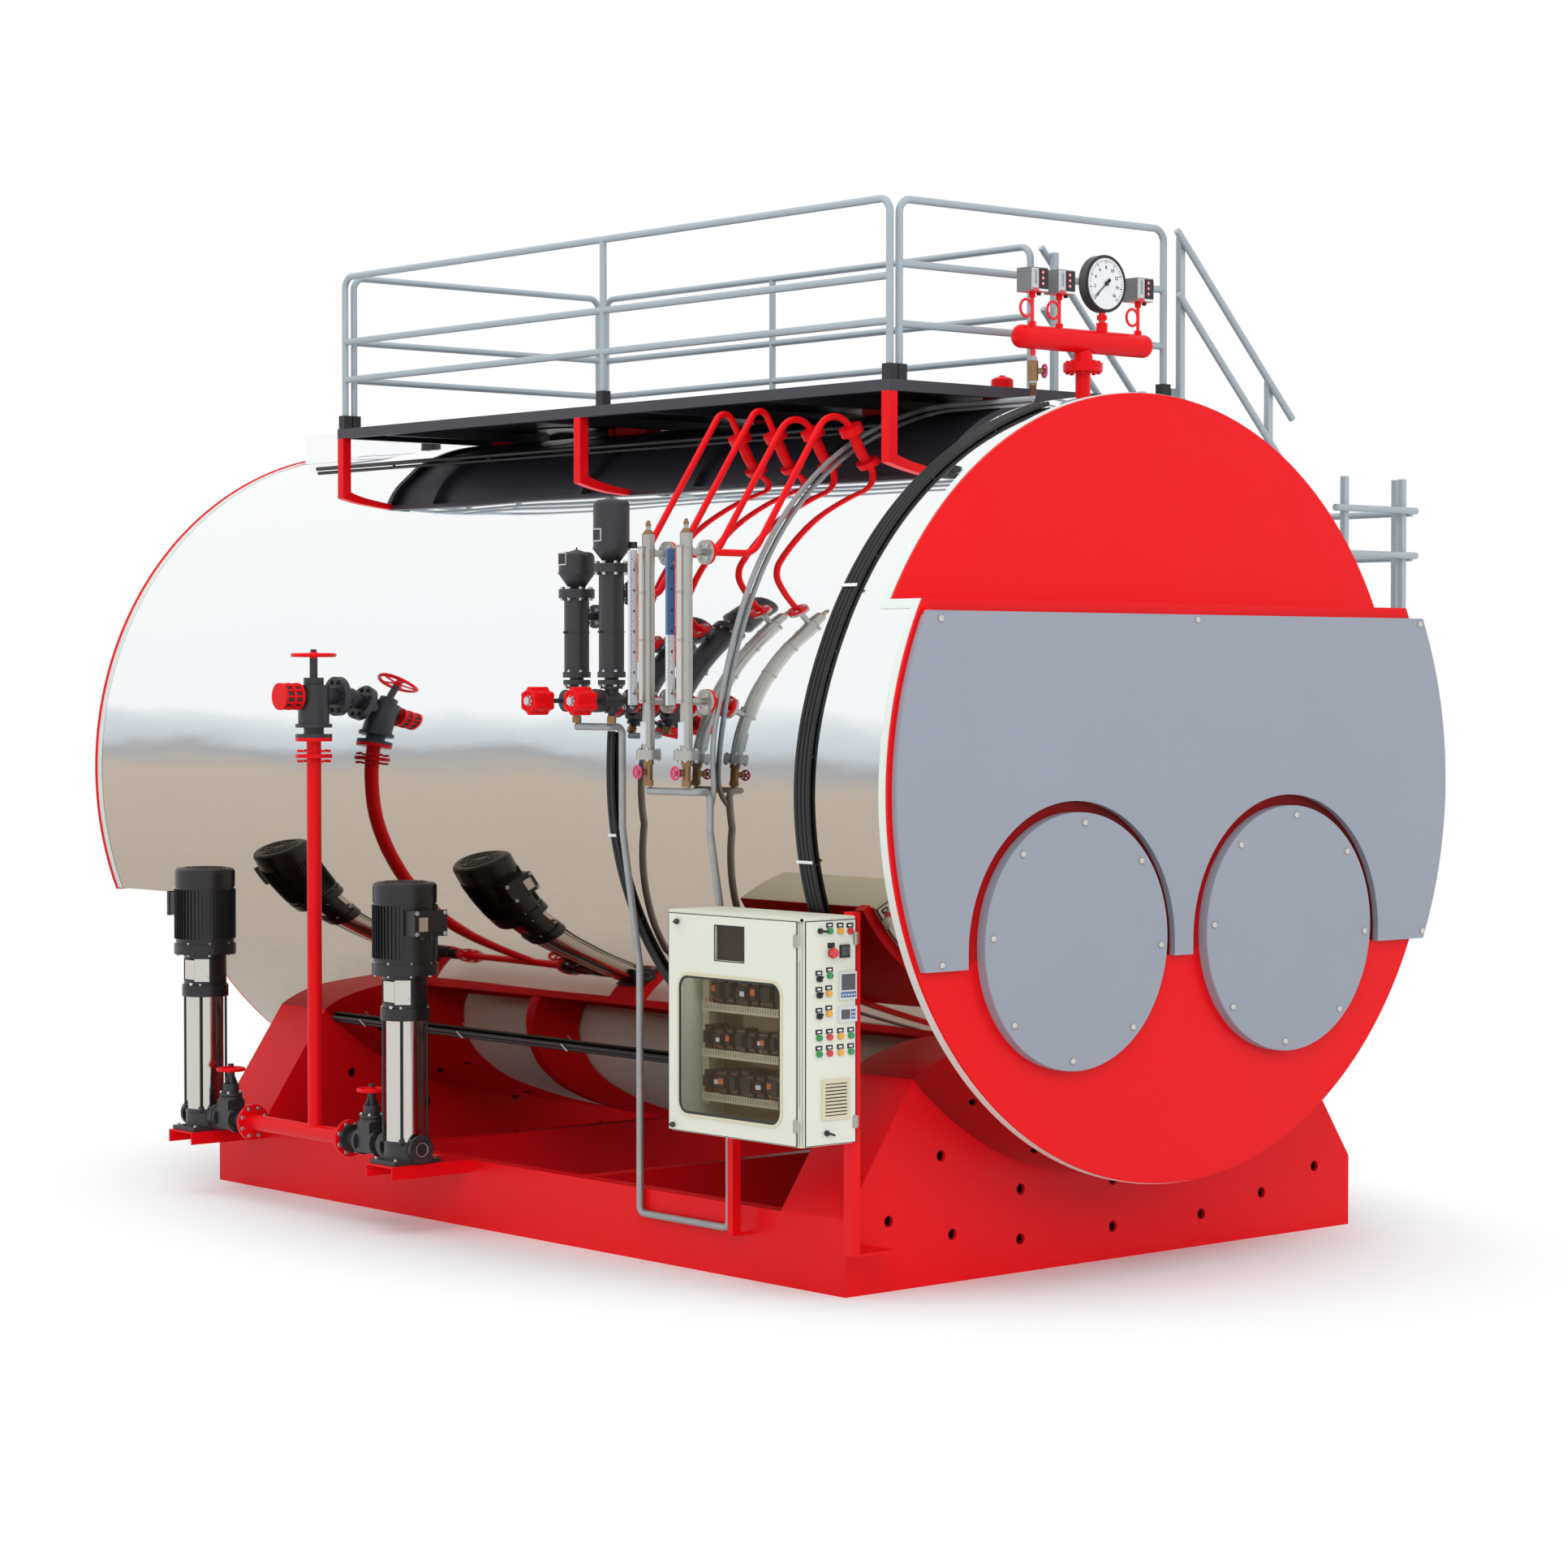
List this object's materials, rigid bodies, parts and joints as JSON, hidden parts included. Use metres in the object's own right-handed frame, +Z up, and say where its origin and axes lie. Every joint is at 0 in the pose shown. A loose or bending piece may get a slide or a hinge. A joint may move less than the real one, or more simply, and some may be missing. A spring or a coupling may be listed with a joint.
{
  "type": "industrial boiler",
  "caption": "Horizontal shell boiler with mirror cladding on a red skid, with roof platform, side stair, feed pumps, level gauges and a control cabinet.",
  "frame": {"origin": "on the floor, at the middle of the front saddle's underside", "axes": "+Z up, +Y from the front to the rear along the shell, +X to the right seen from the front"},
  "size_m": [5.264, 7.108, 5.299],
  "materials": {
    "red_paint": "gloss red paint",
    "mirror_cladding": "polished sheet cladding",
    "pale_trim": "pale satin edge trim",
    "grey_plate": "satin grey paint",
    "dark_steel": "dark satin paint",
    "grey_rail": "grey paint",
    "gauge_black": "black case",
    "switch_grey": "grey case",
    "galvanised": "galvanised pipe",
    "gauge_steel": "brushed steel",
    "cast_black": "black paint on castings",
    "stainless": "polished stainless sleeve",
    "motor_black": "black paint",
    "cabinet_cream": "textured cream powder coat",
    "window_glass": "smoked clear pane",
    "panel_tan": "tan mounting panel with fittings",
    "cable_black": "black sheath"
  },
  "bodies": {
    "boiler": {"skid_beams": "red_paint", "skid_cross_members": "red_paint", "front_saddle": "red_paint", "rear_saddle": "red_paint", "boiler_shell": "mirror_cladding", "front_smokebox": "mirror_cladding", "front_trim": "pale_trim", "front_plate": "red_paint", "upper_front_plate": "red_paint", "rear_plates": "red_paint", "rear_smokebox": "mirror_cladding", "rear_trim": "pale_trim", "smokebox_cover": "grey_plate", "furnace_covers": "grey_plate", "flue_outlet": "mirror_cladding", "manhole": "mirror_cladding", "probe_stub": "red_paint", "platform_frame": "dark_steel", "platform_deck": "dark_steel", "platform_supports": "red_paint", "guardrail_left": "grey_rail", "guardrail_right": "grey_rail", "guardrail_front": "grey_rail", "guardrail_rear": "grey_rail", "stair_stringers": "grey_rail", "upper_stair_treads": "dark_steel", "lower_stair_treads": "dark_steel", "stair_handrails": "grey_rail", "landing": "dark_steel", "landing_guardrail": "grey_rail", "landing_brackets": "red_paint", "pressure_header": "red_paint", "pressure_gauge": "gauge_black", "pressure_switches": "switch_grey", "header_drain": "galvanised", "level_steam_pipes": "red_paint", "level_water_nozzles": "red_paint", "level_gauges": "gauge_steel", "level_controllers": "cast_black", "drain_pipes": "galvanised", "feed_header": "red_paint", "feed_stop_valve": "cast_black", "gate_valves": "cast_black", "pump_brackets": "red_paint", "pump_bases": "cast_black", "pump_sleeves": "stainless", "pump_motors": "motor_black", "cabinet_box": "cabinet_cream", "cabinet_fittings": "panel_tan", "cabinet_stand": "red_paint", "shell_cables": "cable_black", "long_cables": "cable_black"},
    "side_door": {"cabinet_side_door": "cabinet_cream", "cabinet_windows": "window_glass"},
    "end_door": {"cabinet_end_door": "cabinet_cream"},
    "stop_wheel": {"stop_valve_wheel": "red_paint"},
    "gate_wheel_near": {"gate_valve_wheel_1": "red_paint"},
    "gate_wheel_far": {"gate_valve_wheel_2": "red_paint"},
    "level_wheel_front": {"level_valve_wheel_2": "red_paint"},
    "level_wheel_rear": {"level_valve_wheel_1": "red_paint"}
  },
  "joints": [
    {"name": "side_door_hinge", "type": "hinge", "parent": "boiler", "child": "side_door", "pos_m": [-2.272, -0.403, 1.287], "axis": [0, 0, 1], "range_deg": [0, 120]},
    {"name": "end_door_hinge", "type": "hinge", "parent": "boiler", "child": "end_door", "pos_m": [-1.938, -0.44, 1.287], "axis": [0, 0, 1], "range_deg": [0, 95]},
    {"name": "stop_valve_turn", "type": "hinge", "parent": "boiler", "child": "stop_wheel", "pos_m": [-2.14, 3.745, 3.05], "axis": [0, 0, 1], "range_deg": [-360, 360]},
    {"name": "gate_valve_turn_near", "type": "hinge", "parent": "boiler", "child": "gate_wheel_near", "pos_m": [-2.14, 3.202, 0.72], "axis": [0, 0, 1], "range_deg": [-360, 360]},
    {"name": "gate_valve_turn_far", "type": "hinge", "parent": "boiler", "child": "gate_wheel_far", "pos_m": [-2.14, 4.595, 0.72], "axis": [0, 0, 1], "range_deg": [-360, 360]},
    {"name": "level_valve_turn_rear", "type": "hinge", "parent": "boiler", "child": "level_wheel_rear", "pos_m": [-2.344, 1.455, 2.81], "axis": [1, 0, 0], "range_deg": [-360, 360]},
    {"name": "level_valve_turn_front", "type": "hinge", "parent": "boiler", "child": "level_wheel_front", "pos_m": [-2.294, 1.175, 2.81], "axis": [1, 0, 0], "range_deg": [-360, 360]}
  ]
}
